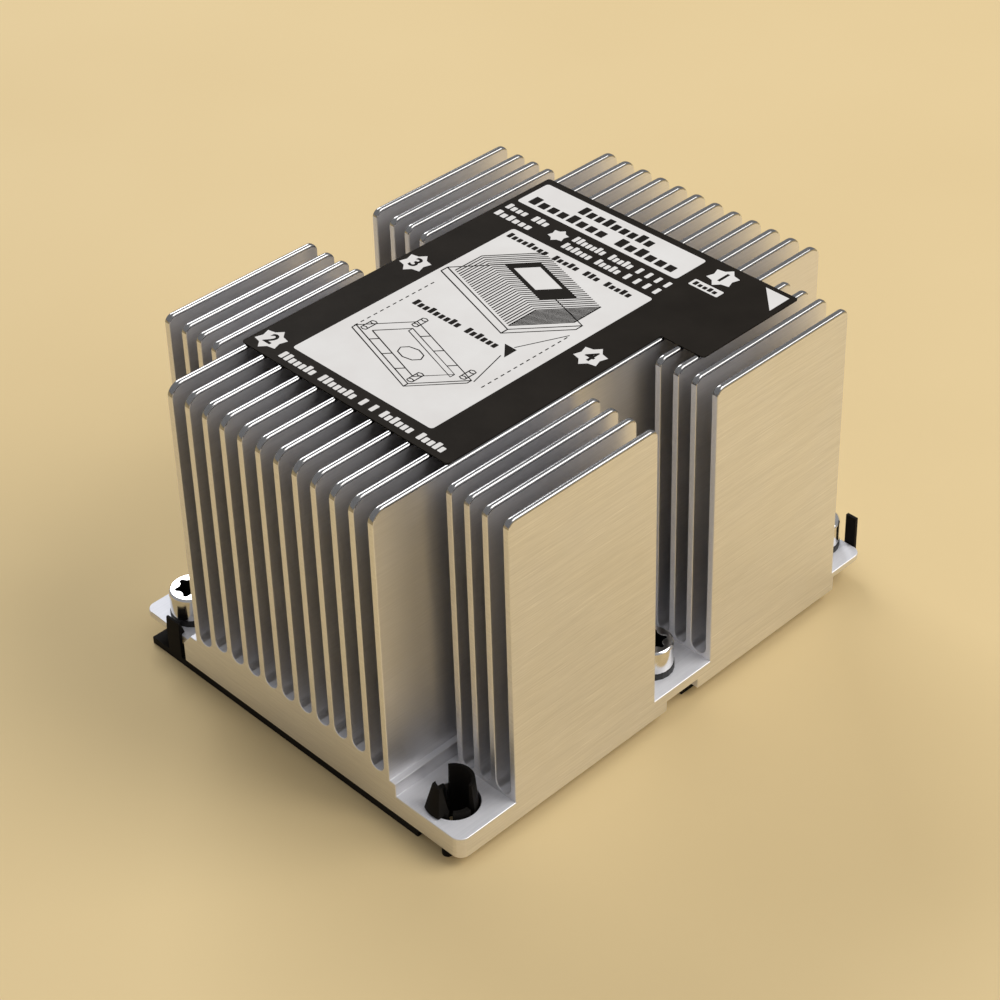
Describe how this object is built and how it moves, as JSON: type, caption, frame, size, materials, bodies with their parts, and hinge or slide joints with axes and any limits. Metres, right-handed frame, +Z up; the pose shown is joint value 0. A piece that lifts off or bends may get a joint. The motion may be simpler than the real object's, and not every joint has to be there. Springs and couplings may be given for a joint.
{
  "type": "passive server cpu heatsink",
  "caption": "Finned aluminium heatsink with long centre fins, shorter side fins, captive fastening nuts, a plastic carrier frame below and a label on the fin tops.",
  "frame": {"origin": "middle of the fin field, on the underside of the plastic carrier", "axes": "+Z up out of the board, +Y along the fins, +X across the fins towards the label's wing"},
  "size_m": [0.0844, 0.108, 0.065],
  "materials": {
    "machined_aluminium": "satin, finely brushed and sawn",
    "nickel_plate": "bright nickel plate",
    "black_washer": "matte",
    "spring_steel": "satin",
    "black_plastic": "satin",
    "label_film": "satin film with white print"
  },
  "bodies": {
    "root": {"heatsink_body": "machined_aluminium", "processor_carrier": "black_plastic", "label": "label_film", "washer_1": "black_washer", "washer_2": "black_washer", "washer_3": "black_washer", "washer_4": "black_washer"},
    "fastener_1": {"nut_1": "nickel_plate", "retaining_ring_1": "spring_steel"},
    "fastener_2": {"nut_2": "nickel_plate", "retaining_ring_2": "spring_steel"},
    "fastener_3": {"nut_3": "nickel_plate", "retaining_ring_3": "spring_steel"},
    "fastener_4": {"nut_4": "nickel_plate", "retaining_ring_4": "spring_steel"}
  },
  "joints": [
    {"name": "nut_1_turn", "type": "hinge", "parent": "root", "child": "fastener_1", "pos_m": [0.0346, 0.0461, 0.008], "axis": [0, 0, 1], "continuous": true},
    {"name": "nut_2_turn", "type": "hinge", "parent": "root", "child": "fastener_2", "pos_m": [-0.0346, -0.0475, 0.008], "axis": [0, 0, 1], "continuous": true},
    {"name": "nut_3_turn", "type": "hinge", "parent": "root", "child": "fastener_3", "pos_m": [-0.0353, -0.0007, 0.008], "axis": [0, 0, 1], "continuous": true},
    {"name": "nut_4_turn", "type": "hinge", "parent": "root", "child": "fastener_4", "pos_m": [0.0353, -0.0007, 0.008], "axis": [0, 0, 1], "continuous": true}
  ]
}
